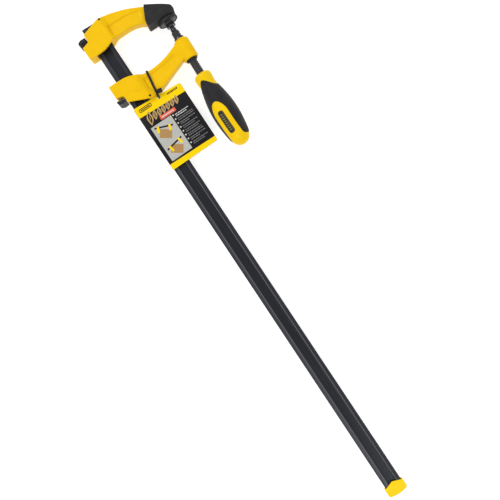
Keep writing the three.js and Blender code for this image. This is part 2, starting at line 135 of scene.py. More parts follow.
# ---- node materials ----
class Surface:
    """A Principled material whose colour, roughness and bump are built from object-space textures."""

    def __init__(self, name, metallic=0.0, coat=0.0, coat_roughness=0.1, specular=0.5):
        self.material = bpy.data.materials.new(name)
        self.material.use_nodes = True
        self.tree = self.material.node_tree
        self.shader = self.tree.nodes["Principled BSDF"]
        self.place = self.node("ShaderNodeTexCoord").outputs["Object"]
        self.normal = None
        self.shader.inputs["Metallic"].default_value = metallic
        self.shader.inputs["Coat Weight"].default_value = coat
        self.shader.inputs["Coat Roughness"].default_value = coat_roughness
        self.shader.inputs["Specular IOR Level"].default_value = specular

    def node(self, kind, inputs=None, **settings):
        made = self.tree.nodes.new(kind)
        for key, value in settings.items():
            setattr(made, key, value)
        for key, value in (inputs or {}).items():
            if isinstance(value, bpy.types.NodeSocket):
                self.tree.links.new(value, made.inputs[key])
            else:
                made.inputs[key].default_value = value
        return made

    def stretched(self, stretch):
        scaled = self.node("ShaderNodeVectorMath", {0: self.place, 1: stretch}, operation="MULTIPLY")
        return scaled.outputs[0]

    def noise(self, size_mm, detail, stretch=(1, 1, 1)):
        """Noise whose features are about size_mm across, drawn out along an axis whose stretch is below 1."""
        inputs = {
            "Vector": self.stretched(stretch),
            "Scale": 1 / (size_mm * MM),
            "Detail": detail,
            "Roughness": 0.55,
        }
        return self.node("ShaderNodeTexNoise", inputs).outputs["Fac"]

    def cells(self, size_mm):
        inputs = {"Vector": self.place, "Scale": 1 / (size_mm * MM)}
        return self.node("ShaderNodeTexVoronoi", inputs).outputs["Distance"]

    def times(self, value, other):
        return self.node("ShaderNodeMath", {0: value, 1: other}, operation="MULTIPLY").outputs[0]

    def distance(self, value, centre):
        """How far a coordinate is from the centre."""
        inputs = {0: value, 1: centre}
        apart = self.node("ShaderNodeMath", inputs, operation="SUBTRACT").outputs[0]
        return self.node("ShaderNodeMath", {0: apart}, operation="ABSOLUTE").outputs[0]

    def spread(self, value, low, high, start=0.3, end=0.7):
        """The value taken from the band start-end to low-high."""
        inputs = {"Value": value, "From Min": start, "From Max": end, "To Min": low, "To Max": high}
        return self.node("ShaderNodeMapRange", inputs).outputs["Result"]

    def mixed(self, factor, first, second):
        return self.node("ShaderNodeMix", {0: factor, 6: first, 7: second}, data_type="RGBA").outputs[2]

    def tint(self, factor, first, second):
        """Sets the colour between two colours by a 0-1 value."""
        self.tree.links.new(self.mixed(factor, first, second), self.shader.inputs["Base Color"])

    def mottle(self, size_mm, detail, dark, light):
        """Sets the colour to soft patches between two colours."""
        self.tint(self.spread(self.noise(size_mm, detail), 0, 1), dark, light)

    def rough(self, size_mm, detail, low, high, stretch=(1, 1, 1)):
        """Sets the roughness to soft patches between two values."""
        patches = self.noise(size_mm, detail, stretch)
        self.tree.links.new(self.spread(patches, low, high), self.shader.inputs["Roughness"])

    def raise_by(self, height, depth_mm, strength):
        """Adds a bump layer, depth_mm from its lowest to its highest point."""
        inputs = {"Height": height, "Distance": depth_mm * MM, "Strength": strength}
        if self.normal:
            inputs["Normal"] = self.normal
        self.normal = self.node("ShaderNodeBump", inputs).outputs["Normal"]
        self.tree.links.new(self.normal, self.shader.inputs["Normal"])


def rgb(red, green, blue):
    return (red, green, blue, 1.0)


def powder_coat():
    """Glossy yellow powder coat on a casting: orange peel, faint mottling, and painted shade darkening the concave
    corners.
    """
    surface = Surface("powder_coat", coat=0.02, coat_roughness=0.15, specular=0.09)
    mottle = surface.noise(14, 4)
    edge = surface.node("ShaderNodeNewGeometry").outputs["Pointiness"]
    yellow = surface.mixed(surface.spread(mottle, 0, 1), rgb(0.77, 0.46, 0.0), rgb(0.83, 0.5, 0.0))
    # painted shade: the concave corners (low pointiness) are darkened towards brown
    corner = surface.spread(edge, 1, 0, start=0.4, end=0.49)
    surface.tint(corner, yellow, rgb(0.5, 0.26, 0.0))
    surface.rough(5, 5, 0.3, 0.46)
    surface.raise_by(surface.noise(1.3, 2), 0.07, 0.6)
    surface.raise_by(surface.noise(0.35, 2), 0.012, 0.6)
    return surface.material


LIP = 6.8  # from the middle of the bar to the lips of its groove
SHEEN_TO = 11  # from the middle of the bar to where the painted sheen on the lit flange fades out
SHEEN_FROM_X = (80, 200)  # the painted sheen and the painted lip highlights grow from faint to full between these


def bar_enamel():
    """Dark satin enamel over rolled steel with mill streaks, and painted light: shade in the groove, highlights on
    its lips and a sheen on the lit -Y flange.
    """
    surface = Surface("bar_enamel", metallic=0.2, coat=0.05, coat_roughness=0.2, specular=0.25)
    streak = surface.noise(2.2, 5, stretch=(0.03, 1, 1))
    axes = surface.node("ShaderNodeSeparateXYZ", {0: surface.place}).outputs
    middle = (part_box("bar")[0][1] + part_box("bar")[1][1]) / 2
    # painted shade: the groove floor gets the darker colour, the flanges the lighter ones
    flange = surface.spread(surface.distance(axes["Z"], 0), 0, 1, start=1.7 * MM, end=2.4 * MM)
    across = surface.distance(axes["Y"], middle)
    # painted highlight: thin bright lines along both lips of the groove
    lip_highlight = surface.spread(surface.distance(across, LIP * MM), 1, 0, start=0.35 * MM, end=0.8 * MM)
    fine = surface.spread(streak, 0, 1)
    groove = surface.mixed(fine, rgb(0.006, 0.007, 0.01), rgb(0.011, 0.0125, 0.017))
    enamel = surface.mixed(fine, rgb(0.014, 0.0155, 0.02), rgb(0.024, 0.027, 0.034))
    # painted sheen: the lit -Y flange is painted paler towards its lip, more so along X
    lit_flange_sheen = surface.mixed(fine, rgb(0.045, 0.049, 0.056), rgb(0.065, 0.07, 0.08))
    lit_side = surface.spread(axes["Y"], 1, 0, start=middle - 2 * MM, end=middle + 2 * MM)
    inward = surface.spread(across, 1, 0, start=LIP * MM, end=SHEEN_TO * MM)
    along = surface.spread(axes["X"], 0.25, 1, start=SHEEN_FROM_X[0] * MM, end=SHEEN_FROM_X[1] * MM)
    sheen_mask = surface.times(surface.times(lit_side, inward), along)
    rail = surface.mixed(sheen_mask, enamel, lit_flange_sheen)
    # painted highlight colour on the lips, fading in along X
    rail = surface.mixed(surface.times(lip_highlight, along), rail, rgb(0.095, 0.1, 0.11))
    surface.tint(flange, groove, rail)
    surface.rough(30, 6, 0.24, 0.42, stretch=(0.25, 1, 1))
    surface.raise_by(streak, 0.03, 0.6)
    surface.raise_by(surface.noise(0.6, 3), 0.02, 0.5)
    return surface.material


def moulded_plastic(name, dark, light, roughness, coat):
    """Moulded plastic: flow mottling, soft sink marks and a faint mould grain."""
    surface = Surface(name, coat=coat, coat_roughness=0.08, specular=0.12)
    surface.mottle(18, 4, dark, light)
    surface.rough(6, 4, *roughness)
    surface.raise_by(surface.noise(9, 1), 0.08, 0.5)
    surface.raise_by(surface.noise(0.4, 2), 0.01, 0.6)
    return surface.material


def textured_plastic(name, dark, light):
    """Spark-eroded black plastic: a fine stipple that breaks up the highlight."""
    surface = Surface(name, specular=0.22)
    surface.mottle(3, 5, dark, light)
    surface.rough(1.2, 4, 0.42, 0.62)
    surface.raise_by(surface.noise(0.45, 3), 0.05, 0.7)
    return surface.material


def rubber(name, dark, light, pebble_mm, depth_mm):
    """Matte rubber: pebbled skin, dusty patches."""
    surface = Surface(name, specular=0.16)
    surface.shader.inputs["Sheen Weight"].default_value = 0.08
    surface.shader.inputs["Sheen Roughness"].default_value = 0.5
    surface.mottle(10, 6, dark, light)
    surface.rough(2, 4, 0.62, 0.85)
    surface.raise_by(surface.cells(pebble_mm), depth_mm, 0.6)
    surface.raise_by(surface.noise(0.3, 2), 0.02, 0.5)
    return surface.material


def turned_steel(name, dark, light, roughness):
    """Machined steel: fine tool marks along the part's axis and a mottled oxide."""
    surface = Surface(name, metallic=0.9)
    marks = surface.noise(0.35, 3, stretch=(1, 0.08, 0.08))
    surface.mottle(4, 6, dark, light)
    surface.rough(3, 5, *roughness)
    surface.raise_by(marks, 0.02, 0.6)
    return surface.material


def worn_screw_steel():
    """Black oxide on a rolled thread: the crests are rubbed brighter than the roots."""
    surface = Surface("worn_screw_steel", metallic=0.75)
    edge = surface.node("ShaderNodeNewGeometry").outputs["Pointiness"]
    crest = surface.spread(edge, 0, 1, start=0.5, end=0.58)
    patch = surface.spread(surface.noise(5, 6), 0, 1)
    oxide = surface.mixed(patch, rgb(0.025, 0.026, 0.03), rgb(0.055, 0.057, 0.064))
    surface.tint(crest, oxide, rgb(0.09, 0.09, 0.096))
    surface.rough(2, 4, 0.32, 0.5)
    surface.raise_by(surface.noise(0.5, 3), 0.03, 0.5)
    return surface.material


def print_ink(name, dark, light):
    """Litho print under a clear laminate: faint dot gain and paper fibre beneath the gloss."""
    surface = Surface(name, coat=0.02, coat_roughness=0.12, specular=0.09)
    surface.mottle(0.8, 3, dark, light)
    surface.rough(5, 3, 0.34, 0.46)
    surface.raise_by(surface.noise(0.7, 4, stretch=(0.4, 1, 1)), 0.012, 0.5)
    return surface.material


def floor_paper():
    surface = Surface("floor_paper", specular=0.1)
    surface.mottle(40, 3, rgb(0.5, 0.5, 0.5), rgb(0.54, 0.54, 0.54))
    surface.rough(10, 3, 0.85, 0.95)
    surface.shader.inputs["Emission Color"].default_value = (1, 1, 1, 1)
    surface.shader.inputs["Emission Strength"].default_value = FLOOR_GLOW
    return surface.material


YELLOW_CAST = powder_coat()
BAR_STEEL = bar_enamel()
CAP_PLASTIC = moulded_plastic("cap_plastic", rgb(0.82, 0.56, 0.0), rgb(0.89, 0.62, 0.0), (0.26, 0.4), 0.03)
CORE_PLASTIC = moulded_plastic("core_plastic", rgb(0.8, 0.51, 0.0), rgb(0.86, 0.56, 0.0), (0.18, 0.32), 0.06)
BOOT_RUBBER = rubber("boot_rubber", rgb(0.015, 0.0155, 0.016), rgb(0.026, 0.027, 0.028), 1.1, 0.09)
GRIP_RUBBER = rubber("grip_rubber", rgb(0.013, 0.013, 0.015), rgb(0.021, 0.021, 0.023), 0.7, 0.06)
BLACK_PLASTIC = textured_plastic("black_plastic", rgb(0.01, 0.01, 0.012), rgb(0.022, 0.022, 0.025))
NYLON = textured_plastic("nylon", rgb(0.01, 0.01, 0.011), rgb(0.02, 0.02, 0.022))
BRIGHT_STEEL = turned_steel("bright_steel", rgb(0.42, 0.42, 0.44), rgb(0.6, 0.6, 0.62), (0.2, 0.38))
DARK_STEEL = turned_steel("dark_steel", rgb(0.03, 0.03, 0.034), rgb(0.07, 0.07, 0.078), (0.3, 0.48))
SCREW_STEEL = worn_screw_steel()
CARD_BLACK = print_ink("card_black", rgb(0.008, 0.007, 0.009), rgb(0.014, 0.013, 0.016))
INK_COLOURS = {
    "yellow": (rgb(0.86, 0.57, 0.0), rgb(0.92, 0.64, 0.0)),
    "gold": (rgb(0.42, 0.26, 0.1), rgb(0.56, 0.38, 0.16)),
    "red": (rgb(0.62, 0.09, 0.06), rgb(0.75, 0.14, 0.08)),
    "pale": (rgb(0.6, 0.6, 0.58), rgb(0.72, 0.72, 0.7)),
    "panel": (rgb(0.35, 0.35, 0.325), rgb(0.52, 0.52, 0.485)),
    "grey": (rgb(0.15, 0.15, 0.15), rgb(0.22, 0.22, 0.22)),
    "brown": (rgb(0.34, 0.19, 0.07), rgb(0.45, 0.27, 0.11)),
    "olive": (rgb(0.16, 0.15, 0.05), rgb(0.24, 0.22, 0.08)),
}
INKS = {name: print_ink(f"ink_{name}", *colours) for name, colours in INK_COLOURS.items()}
INKS["black"] = CARD_BLACK


# ---- shapes ----
def mesh_of(points, faces):
    """A mesh from points and faces, with every face turned outwards."""
    mesh = bpy.data.meshes.new("shape")
    mesh.from_pydata([tuple(point) for point in points], [], faces)
    skin = bmesh.new()
    skin.from_mesh(mesh)
    bmesh.ops.recalc_face_normals(skin, faces=skin.faces)
    skin.to_mesh(mesh)
    skin.free()
    return mesh


def changed(mesh, modifiers, others=()):
    """The mesh after the modifiers, each (kind, settings).

    An "object" setting is the number of one of the others, counted from 1.
    """
    made = [bpy.data.objects.new("working", each) for each in (mesh, *others)]
    for each in made:
        link(each)
    for kind, settings in modifiers:
        modifier = made[0].modifiers.new(kind, kind)
        for key, value in settings.items():
            setattr(modifier, key, made[value] if key == "object" else value)
    graph = bpy.context.evaluated_depsgraph_get()
    result = bpy.data.meshes.new_from_object(made[0].evaluated_get(graph))
    for each in made:
        bpy.data.objects.remove(each)
    return result


def combined(mesh, operation, *others):
    """Joins (UNION), cuts (DIFFERENCE) or keeps what is common (INTERSECT) with each other mesh in turn."""
    steps = [
        ("BOOLEAN", {"operation": operation, "solver": "EXACT", "object": i + 1}) for i in range(len(others))
    ]
    return changed(mesh, steps, others)


def softened(mesh, voxel, passes):
    """One smooth skin over the mesh: even voxels, then a few smoothing passes that round every edge."""
    steps = [
        ("REMESH", {"mode": "VOXEL", "voxel_size": voxel}),
        ("SMOOTH", {"factor": 0.5, "iterations": passes}),
    ]
    return changed(mesh, steps)


def moved(mesh, matrix):
    copy = mesh.copy()
    copy.transform(matrix)
    return copy


def cad_copy(node):
    """A copy of a CAD node's mesh, in millimetres."""
    copy = frame["nodes"][node].data.copy()
    copy.materials.clear()
    copy.transform(Matrix.Scale(1 / MM, 4))
    weld = ("WELD", {"merge_threshold": 0.001})
    return changed(copy, [weld])


MOST_ROUND = 0.48  # largest rounding as a share of the shorter edge beside a corner


def rounded(outline, steps=6):
    """Outline corners [x, y, radius] as a smooth list of points."""
    points = []
    count = len(outline)
    for i, corner in enumerate(outline):
        here = Vector(corner[:2])
        back = Vector(outline[i - 1][:2]) - here
        ahead = Vector(outline[(i + 1) % count][:2]) - here
        asked = corner[2] if len(corner) > 2 else 0
        radius = min(asked, MOST_ROUND * back.length, MOST_ROUND * ahead.length)
        if radius == 0:
            points.append(here)
            continue
        start = here + back.normalized() * radius
        end = here + ahead.normalized() * radius
        for k in range(steps + 1):
            t = k / steps
            points.append(start * (1 - t) ** 2 + here * 2 * t * (1 - t) + end * t * t)
    return points


def slab(outline, z0, z1, steps=6):
    """A flat plate with the given outline, anticlockwise, from z0 to z1."""
    ring = rounded(outline, steps)
    count = len(ring)
    points = [(x, y, z0) for x, y in ring] + [(x, y, z1) for x, y in ring]
    sides = [(i, (i + 1) % count, count + (i + 1) % count, count + i) for i in range(count)]
    return mesh_of(points, [tuple(reversed(range(count))), tuple(range(count, 2 * count)), *sides])


def rectangle(x0, x1, y0, y1, radius=0):
    return [(x0, y0, radius), (x1, y0, radius), (x1, y1, radius), (x0, y1, radius)]


def box(x0, x1, y0, y1, z0, z1, radius=0):
    return slab(rectangle(x0, x1, y0, y1, radius), z0, z1)


BEVEL_ANGLE = math.radians(35)  # edges that turn by more than this are bevelled


def bevelled(mesh, width, segments=3):
    settings = {"width": width, "segments": segments, "limit_method": "ANGLE", "angle_limit": BEVEL_ANGLE}
    return changed(mesh, [("BEVEL", settings)])


def lofted(rings, closed=False):
    """A skin over rings of equal length, capped at both ends, or closed from the last ring to the first."""
    size = len(rings[0])
    points = [point for ring in rings for point in ring]
    faces = []
    count = len(rings)
    for j in range(count if closed else count - 1):
        a, b = j * size, (j + 1) % count * size
        faces += [(a + i, a + (i + 1) % size, b + (i + 1) % size, b + i) for i in range(size)]
    if not closed:
        faces += [tuple(reversed(range(size))), tuple(range(len(points) - size, len(points)))]
    return mesh_of(points, faces)


def rings_about_x(profile, segments, radius_at):
    """One ring of points about the X axis for each (x, radius), with radius_at(x, r, angle) to shape it."""
    rings = []
    for x, r in profile:
        ring = []
        for i in range(segments):
            angle = 2 * math.pi * i / segments
            radius = max(radius_at(x, r, angle), 0.02)
            ring.append((x, radius * math.cos(angle), radius * math.sin(angle)))
        rings.append(ring)
    return rings


def lathe(profile, segments=96, radius_at=lambda x, r, angle: r):
    """A body turned about the X axis from (x, radius) points. radius_at(x, r, angle) may ripple it."""
    return lofted(rings_about_x(profile, segments, radius_at))


def ring_lathe(profile, segments=96):
    """A hollow turned body from a closed (x, radius) outline that never meets the axis."""
    rings = []
    for i in range(segments):
        angle = 2 * math.pi * i / segments
        rings.append([(x, r * math.cos(angle), r * math.sin(angle)) for x, r in reversed(profile)])
    return lofted(rings, closed=True)


def smoothstep(value):
    value = min(max(value, 0.0), 1.0)
    return value * value * (3 - 2 * value)


def helix(x0, x1, turns, radius, wire, y, steps=40, sides=12):
    """A compression spring along X with its end turns closed up."""
    rings = []
    total = turns * steps
    for j in range(total + 1):
        t = j / total
        x = x0 + wire + (0.35 * t + 0.65 * smoothstep(t)) * (x1 - x0 - 2 * wire)
        turn = 2 * math.pi * turns * t
        out = Vector((0, math.cos(turn), math.sin(turn)))
        centre = Vector((x, y, 0)) + out * radius
        ring = []
        for i in range(sides):
            angle = 2 * math.pi * i / sides
            ring.append(centre + out * wire * math.cos(angle) + Vector((wire * math.sin(angle), 0, 0)))
        rings.append(ring)
    return lofted(rings)


# ---- pieces ----
RECORD = frame["record"]
BODY_OF = {node: body for body, nodes in RECORD["behaviour"]["bodies"].items() for node in nodes}
JOINT = {joint["name"]: joint for joint in frame["joints"]}


ALL_SMOOTH = 180  # a smooth_angle that leaves no edge sharp


def add_piece(name, mesh, material, node, smooth_angle=40):
    """Puts a millimetre mesh in the scene as a piece that replaces the CAD node and rides with its body."""
    mesh = mesh.copy()
    mesh.transform(Matrix.Scale(MM, 4))
    mesh.materials.clear()
    mesh.materials.append(material)
    mesh.shade_smooth()
    if smooth_angle < ALL_SMOOTH:
        mesh.set_sharp_from_angle(angle=math.radians(smooth_angle))
    piece = bpy.data.objects.new(name, mesh)
    link(piece)
    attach(piece, BODY_OF[node])
    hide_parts(node)
    return piece


def add_moulding(name, mesh, voxel, passes, material, node):
    """Adds a piece with every edge rounded, as on a cast or moulded part."""
    add_piece(name, softened(mesh, voxel, passes), material, node, ALL_SMOOTH)


def cad_mm(node):
    """The node's box in millimetres."""
    low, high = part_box(node)
    return Vector(low) / MM, Vector(high) / MM


def joined(meshes):
    """Several meshes as one, without welding them."""
    skin = bmesh.new()
    for mesh in meshes:
        skin.from_mesh(mesh)
    result = bpy.data.meshes.new("joined")
    skin.to_mesh(result)
    skin.free()
    return result


# The screw's line is canted a little. Things on it are drawn along X and turned onto it.
PIVOT = Vector(JOINT["screw_turn"]["pos_m"]) / MM
SCREW_AXIS = Vector(JOINT["screw_turn"]["axis"])
HANDLE_ROLL = math.radians(27)
TO_PIVOT = Matrix.Translation(PIVOT)
CANT = Matrix.Rotation(math.atan2(SCREW_AXIS.y, SCREW_AXIS.x), 4, "Z")
SCREW_FRAME = TO_PIVOT @ CANT @ TO_PIVOT.inverted()
HANDLE_FRAME = TO_PIVOT @ CANT @ Matrix.Rotation(HANDLE_ROLL, 4, "X") @ TO_PIVOT.inverted()


# ---- bar and tail cap ----
GROOVE_HALF = 6.4
WEB_HALF = 1.5
TOOTH_PITCH = 1.4
TOOTH_DEPTH = 0.25
ARRIS = 0.7  # rounding of the bar's long edges
CROWN = 0.65  # how far each flange falls away towards its narrow edge


def bar_section(half_width, half_thick):
    """The grooved section as (y, z) points: rounded edges, and a shallow groove down each face."""
    lower = [
        (-half_width, -half_thick + CROWN, ARRIS),
        (-GROOVE_HALF - 0.5, -half_thick, 0.5),
        (-GROOVE_HALF + 1, -WEB_HALF, 0.9),
        (GROOVE_HALF - 1, -WEB_HALF, 0.9),
        (GROOVE_HALF + 0.5, -half_thick, 0.5),
        (half_width, -half_thick + CROWN, ARRIS),
    ]
    return rounded(lower + [(-y, -z, radius) for y, z, radius in lower], steps=4)


def make_bar():
    """The bar, with fine teeth across both narrow edges for the heads to bite on."""
    low, high = cad_mm("bar")
    half_width = (high.y - low.y) / 2
    half_thick = (high.z - low.z) / 2
    centre = (high.y + low.y) / 2
    section = bar_section(half_width, half_thick)

    def ring(x, tooth, inset=0.0):
        points = []
        for y, z in section:
            at_edge = max(0.0, 1 - (half_width - abs(y)) / ARRIS)
            y = math.copysign(abs(y) - tooth * at_edge, y)
            points.append((x, centre + y * (1 - inset / half_width), z * (1 - inset / half_thick)))
        return points

    rows = int((high.x - low.x - 1) / (TOOTH_PITCH / 2))
    rings = [ring(low.x, 0, inset=0.5)]
    for i in range(rows):
        rings.append(ring(low.x + 0.5 + i * TOOTH_PITCH / 2, TOOTH_DEPTH * (i % 2)))
    rings.append(ring(high.x - 0.5, 0))
    rings.append(ring(high.x, 0, inset=0.5))
    add_piece("bar_rail", lofted(rings), BAR_STEEL, "bar", smooth_angle=30)


def make_end_cap():
    add_moulding("tail_cap", cad_copy("end_cap"), 0.35, 4, CAP_PLASTIC, "end_cap")


# ---- the two cast heads ----
CAST_VOXEL = 0.55
CAST_PASSES = 5
PANEL_DEEP = 1.9  # depth of an arm's panel at its -X side
PANEL_SHALLOW = 0.2  # and at its +X side
ARM_TOP = 8.2
NUB = [(-1.2, 0.6), (-0.6, 1.1), (0.6, 1.1), (1.2, 0.6)]  # (x, radius)
NUB_PLACE = (1.3, -59)  # x from the head's outer edge, and y
RAISED_PAD = [(47.5, -93, 3.5), (63.5, -93, 3.5), (64.8, -79, 3.5), (49.5, -79, 3.5)]
PAD_ROOT = 0.6  # how deep the raised pad is sunk in the housing
PAD_RISE = 0.8  # how far it stands proud
FIXED_PANEL = [(-18, -72, 3), (-17.6, -46, 6), (-13, -31, 2)]
FIXED_PANEL += [(-25.5, -25.5, 2), (-31, -42, 8), (-31.5, -72, 3)]
SLIDING_PANEL = [(70, -71, 3), (66.5, -46, 10), (58.5, -18, 3)]
SLIDING_PANEL += [(50.5, -18, 3), (54.2, -46, 10), (54.8, -71, 3)]


def spread_outline(outline, distance):
    """The anticlockwise outline with every edge moved outwards."""
    count = len(outline)
    made = []
    for i, (x, y, radius) in enumerate(outline):
        here = Vector((x, y))
        before = (here - Vector(outline[i - 1][:2])).normalized()
        after = (Vector(outline[(i + 1) % count][:2]) - here).normalized()
        a = Vector((before.y, -before.x))
        b = Vector((after.y, -after.x))
        spot = here + (a + b) * distance / (1 + a.dot(b))
        made.append((spot.x, spot.y, radius))
    return made


def panel_cutters(outline):
    """A cutter for each side of an arm. Its floor rises from -X to +X, and its walls lean outwards."""
    top = rounded(spread_outline(outline, 1.2))
    foot = rounded(spread_outline(outline, -0.8))
    x0 = min(p.x for p in foot)
    x1 = max(p.x for p in foot)

    def depth(x):
        return PANEL_DEEP + (PANEL_SHALLOW - PANEL_DEEP) * (x - x0) / (x1 - x0)

    cutters = []
    for side in (-1, 1):
        floor = [(x, y, side * (ARM_TOP - depth(x))) for x, y in foot]
        rim = [(x, y, side * (ARM_TOP + 0.05)) for x, y in top]
        mouth = [(x, y, side * (ARM_TOP + 6)) for x, y in top]
        cutters.append(lofted([floor, rim, mouth]))
    return cutters


def with_panels(head, outline):
    """The head with its arm's flat panels filled in, and sunk again with a tilted floor and soft walls."""
    filled = combined(head, "UNION", slab(spread_outline(outline, 0.15), -ARM_TOP, ARM_TOP))
    return combined(filled, "DIFFERENCE", *panel_cutters(outline))


def make_fixed_head():
    """The fixed head's casting, with the nub left by its gate on the outer edge."""
    low, _ = cad_mm("fixed_head")
    inward, y = NUB_PLACE
    nub = moved(lathe(NUB, 24), Matrix.Translation((low.x + inward, y, 0)))
    head = combined(cad_copy("fixed_head"), "UNION", nub)
    head = with_panels(head, FIXED_PANEL)
    add_moulding("fixed_head_casting", head, CAST_VOXEL, CAST_PASSES, YELLOW_CAST, "fixed_head")


def make_sliding_head():
    """The sliding head's casting, with a low raised pad on each side of its housing."""
    _, high = cad_mm("sliding_head")
    raised = []
    for side in (-1, 1):
        z0, z1 = sorted((side * (high.z - PAD_ROOT), side * (high.z + PAD_RISE)))
        raised.append(slab(RAISED_PAD, z0, z1))
    head = combined(cad_copy("sliding_head"), "UNION", *raised)
    head = with_panels(head, SLIDING_PANEL)
    add_moulding("sliding_head_casting", head, CAST_VOXEL, CAST_PASSES, YELLOW_CAST, "sliding_head")


def make_cross_pins():
    """Chamfered pins with a centre-punched end, flush in the heads' sides."""
    for node in ("fixed_cross_pin", "sliding_cross_pin"):
        low, high = cad_mm(node)
        r = (high.x - low.x) / 2
        half = (high.z - low.z) / 2
        end = [(0.5, 0.0), (0.1, 0.55), (0, r - 0.35), (0.35, r)]
        profile = [(x - half, radius) for x, radius in end]
        profile += [(half - x, radius) for x, radius in reversed(end)]
        pin = moved(lathe(profile, 32), Matrix.Rotation(math.pi / 2, 4, "Y"))
        pin = moved(pin, Matrix.Translation((low + high) / 2))
        add_piece(node.replace("cross_pin", "pin_ends"), pin, DARK_STEEL, node)


# ---- release buttons and their springs ----
RIDGE_PITCH = 1.8
FIRST_RIDGE = 3.4  # from the button's lower edge
SPRING_TURNS = 6
SPRING_WIRE = 0.35


def make_buttons():
    """Black release buttons, ridged across the face that the thumb pushes."""
    for side, node in ((-1, "fixed_release_button"), (1, "sliding_release_button")):
        low, high = cad_mm(node)
        face = high.x if side > 0 else low.x
        ridges = []
        for k in range(5):
            y = low.y + FIRST_RIDGE + RIDGE_PITCH * k
            x0, x1 = sorted((face - side * 0.8, face + side))
            ridges.append(box(x0, x1, y - 0.4, y + 0.4, low.z + 2, high.z - 2))
        button = combined(cad_copy(node), "DIFFERENCE", *ridges)
        add_moulding(node.replace("release", "thumb"), button, 0.4, 3, BLACK_PLASTIC, node)


def make_button_springs():
    """A coil behind each button, with a mesh of its own."""
    for node in ("fixed_button_spring", "sliding_button_spring"):
        low, high = cad_mm(node)
        radius = (high.z - low.z) / 2 - SPRING_WIRE
        y = (low.y + high.y) / 2
        coil = helix(low.x, high.x, SPRING_TURNS, radius, SPRING_WIRE, y)
        piece = add_piece(node.replace("spring", "coil"), coil, BRIGHT_STEEL, node)
        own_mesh(piece)


# ---- rubber boot on the fixed jaw ----
RIB_PITCH = 2
FIRST_RIB = 3.4  # from the boot's lower edge


def make_boot():
    """The boot, with ribs moulded across the lower part of its clamping face."""
    low, high = cad_mm("fixed_jaw_cap")
    grooves = []
    for k in range(7):
        y = low.y + FIRST_RIB + RIB_PITCH * k
        grooves.append(box(high.x - 0.7, high.x + 1, y - 0.45, y + 0.45, low.z - 1, high.z + 1))
    boot = combined(cad_copy("fixed_jaw_cap"), "DIFFERENCE", *grooves)
    add_moulding("jaw_boot", boot, 0.3, 6, BOOT_RUBBER, "fixed_jaw_cap")


# ---- screw spindle, insert and ring ----
SCREW_TURNS = 5  # over the whole feed
PITCH = JOINT["screw_feed"]["range_m"][1] / MM / SCREW_TURNS
THREAD_R = 5.8
THREAD_DEPTH = 0.65
THREAD = (22.5, 95.5)  # where the thread begins and ends
BALL_R = 4.2
NECK_R = 3.1


def threaded(x, r, angle):
    """The radius with a rounded right-hand thread cut in it, fading out at both ends of the thread."""
    phase = (x / PITCH - angle / (2 * math.pi)) % 1
    root = smoothstep((abs(phase - 0.5) - 0.14) / 0.2)
    fade = smoothstep((x - THREAD[0]) / 2.5) * smoothstep((THREAD[1] - x) / 2.5)
    return r - THREAD_DEPTH * root * fade


def make_spindle():
    """Ball end, neck, collar and thread, then the tang inside the handle."""
    profile = []
    meet = math.pi - math.asin(NECK_R / BALL_R)
    for i in range(13):
        angle = meet * i / 12
        profile.append((PIVOT.x - BALL_R * math.cos(angle), BALL_R * math.sin(angle)))
    profile += [(15.2, NECK_R), (16.4, NECK_R), (16.8, 3.3), (17.2, 3.9), (17.6, 4.1), (21, 4.1), (21.5, 4.4)]
    profile += [(22.3 + 0.25 * i, 4.8 + 0.25 * i) for i in range(5)]
    rows = 12
    x = 23.6
    while x < THREAD[1] + 0.3:
        profile.append((x, THREAD_R))
        x += PITCH / rows
    profile += [(96.2, 4.8), (96.6, 4.6), (175, 4.6), (175.6, 4.2), (176, 3.4), (176, 0)]
    spindle = moved(lathe(profile, 72, threaded), HANDLE_FRAME)
    add_piece("screw_spindle", spindle, SCREW_STEEL, "spindle", 50)


def make_insert():
    """The threaded insert in the boss, and the snap ring in its groove."""
    r, bore = 7.1, 6.15
    x0, x1 = 32, 68.6
    ring_x0, ring_x1, groove = 66.5, 68.3, 6.5
    outside = [(x0, r - 0.7), (x0 + 0.25, r - 0.25), (x0 + 0.7, r), (38, r), (38, 8.6), (61, 8.6), (61, r)]
    outside += [(ring_x0, r), (ring_x0, groove), (ring_x1, groove), (ring_x1, r - 0.1), (x1 - 0.1, r - 0.15)]
    inside = [(x1, r - 0.35), (x1, bore + 0.4), (x1 - 0.4, bore), (x0 + 0.5, bore), (x0, bore + 0.4)]
    insert = moved(ring_lathe(outside + inside), SCREW_FRAME)
    add_piece("boss_insert", insert, DARK_STEEL, "thread_insert", 30)
    ring = slab(snap_ring_outline(6.75, 8.4), 66.8, 68)
    onto_x = Matrix.Rotation(math.pi / 2, 4, "Y") @ Matrix.Rotation(math.pi / 2, 4, "Z")
    ring = moved(moved(bevelled(ring, 0.15), onto_x), SCREW_FRAME)
    add_piece("boss_snap_ring", ring, DARK_STEEL, "insert_snap_ring")


def snap_ring_outline(inner, outer):
    """A C-shaped ring, open at the top, with a rounded lug at each end."""
    gap = math.radians(9)
    turns = [gap + (2 * math.pi - 2 * gap) * i / 60 for i in range(61)]
    out = [(outer * math.sin(a), outer * math.cos(a), 0) for a in turns]
    back = [(inner * math.sin(a), inner * math.cos(a), 0) for a in reversed(turns)]
    return list(reversed(out + back))


